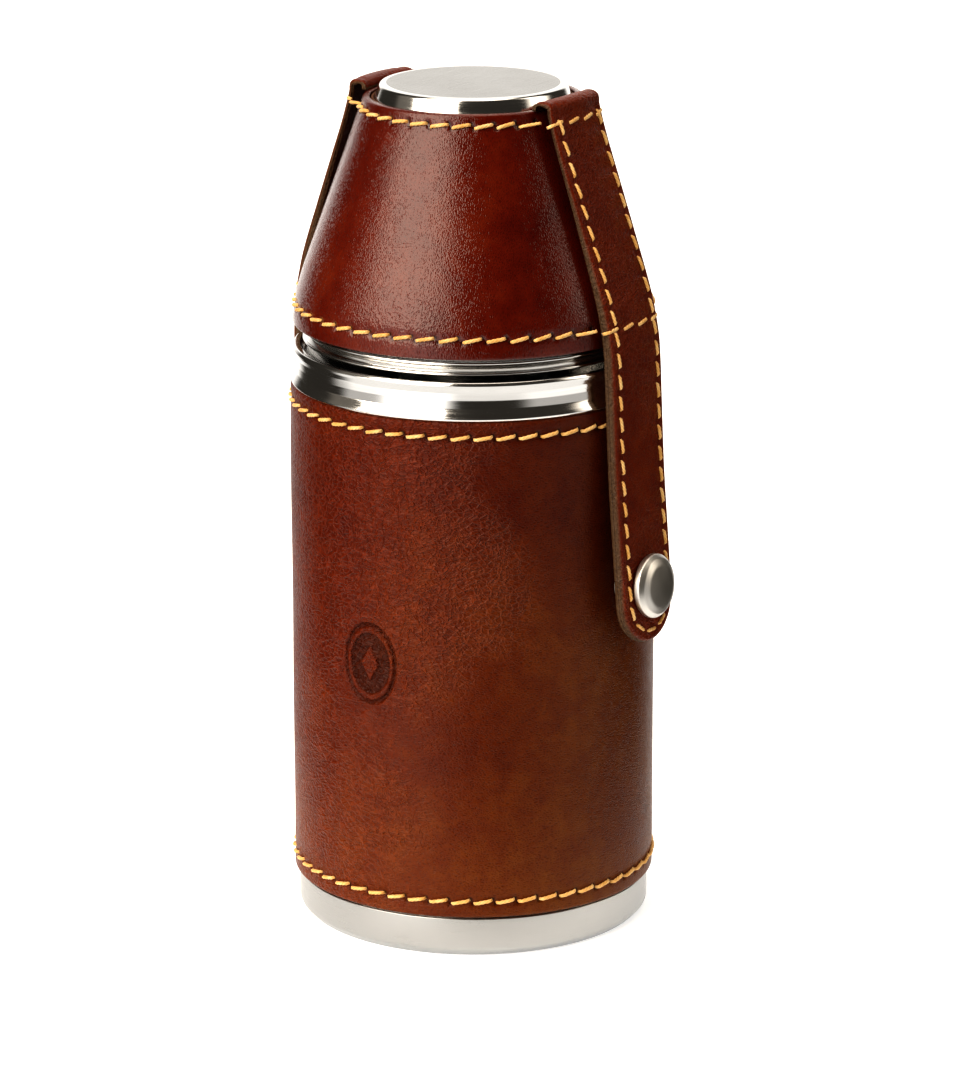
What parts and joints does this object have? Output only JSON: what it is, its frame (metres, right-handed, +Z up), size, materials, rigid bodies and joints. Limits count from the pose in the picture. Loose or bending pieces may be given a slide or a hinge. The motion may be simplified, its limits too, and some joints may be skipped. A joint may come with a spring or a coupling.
{
  "type": "hip flask",
  "caption": "Round steel hip flask with a stitched leather sleeve, nested cone cups under a hinged leather cover, a press-stud strap and a screw cap.",
  "frame": {"origin": "centre of the flat underside of the base, where the flask stands", "axes": "+Z up along the body axis, +X towards the press-stud strap, -X towards the hinge strap, -Y towards the stamped oval"},
  "size_m": [0.0823, 0.073, 0.167],
  "materials": {
    "brushed_base": "satin, brushed around",
    "vessel_steel": "satin",
    "polished_band": "mirror polished steel",
    "cap_steel": "satin with grooved grip",
    "cup_steel": "polished rim and edge, brushed crown",
    "snap_metal": "nickel plated",
    "body_leather": "glossy waxed chestnut",
    "strap_leather": "glossy waxed chestnut, dark painted edges",
    "lining": "matt suede",
    "thread": "waxed golden thread",
    "seal": "matt silicone",
    "insert": "matt"
  },
  "bodies": {
    "flask": {"base_cup": "brushed_base", "body_tube": "vessel_steel", "shoulder": "polished_band", "neck": "vessel_steel", "sleeve": "body_leather", "sleeve_top_thread": "thread", "sleeve_bottom_thread": "thread", "back_strap_lower": "strap_leather", "back_strap_lower_thread": "thread", "snap_stud": "snap_metal"},
    "cap_washer": {"cap_seal": "seal"},
    "cap": {"cap_insert": "insert", "cap_shell": "cap_steel"},
    "cover": {"cover_leather": "body_leather", "cover_lining": "lining", "cover_top_thread": "thread", "cover_bottom_thread": "thread", "front_strap_upper": "strap_leather", "front_strap_upper_thread": "thread", "back_strap_upper": "strap_leather", "back_strap_upper_thread": "thread"},
    "nest_cup_1": {"cup_1": "cup_steel"},
    "nest_cup_2": {"cup_2": "cup_steel"},
    "nest_cup_3": {"cup_3": "cup_steel"},
    "nest_cup_4": {"cup_4": "cup_steel"},
    "strap_tab": {"front_strap_tab": "strap_leather", "front_strap_tab_thread": "thread", "snap_cap": "snap_metal", "snap_socket": "snap_metal", "snap_spring": "snap_metal"}
  },
  "joints": [
    {"name": "cap_rise", "type": "slide", "parent": "flask", "child": "cap_washer", "axis": [0, 0, 1], "range_m": [0, 0.006]},
    {"name": "cap_turn", "type": "hinge", "parent": "cap_washer", "child": "cap", "pos_m": [0, 0, 0.13], "axis": [0, 0, 1], "range_deg": [0, 720]},
    {"name": "cover_hinge", "type": "hinge", "parent": "flask", "child": "cover", "pos_m": [-0.0373, 0, 0.11], "axis": [0, -1, 0], "range_deg": [0, 110]},
    {"name": "tab_hinge", "type": "hinge", "parent": "cover", "child": "strap_tab", "pos_m": [0.03695, 0, 0.12], "axis": [0, -1, 0], "range_deg": [0, 110]},
    {"name": "cup_1_turn", "type": "hinge", "parent": "cover", "child": "nest_cup_1", "pos_m": [0, 0, 0.14], "axis": [0, 0, 1], "continuous": true},
    {"name": "cup_2_turn", "type": "hinge", "parent": "cover", "child": "nest_cup_2", "pos_m": [0, 0, 0.14], "axis": [0, 0, 1], "continuous": true},
    {"name": "cup_3_turn", "type": "hinge", "parent": "cover", "child": "nest_cup_3", "pos_m": [0, 0, 0.14], "axis": [0, 0, 1], "continuous": true},
    {"name": "cup_4_turn", "type": "hinge", "parent": "cover", "child": "nest_cup_4", "pos_m": [0, 0, 0.14], "axis": [0, 0, 1], "continuous": true}
  ],
  "couplings": [
    {"joint": "cap_rise", "follows": "cap_turn", "m_per_rad": 0.00047746}
  ]
}
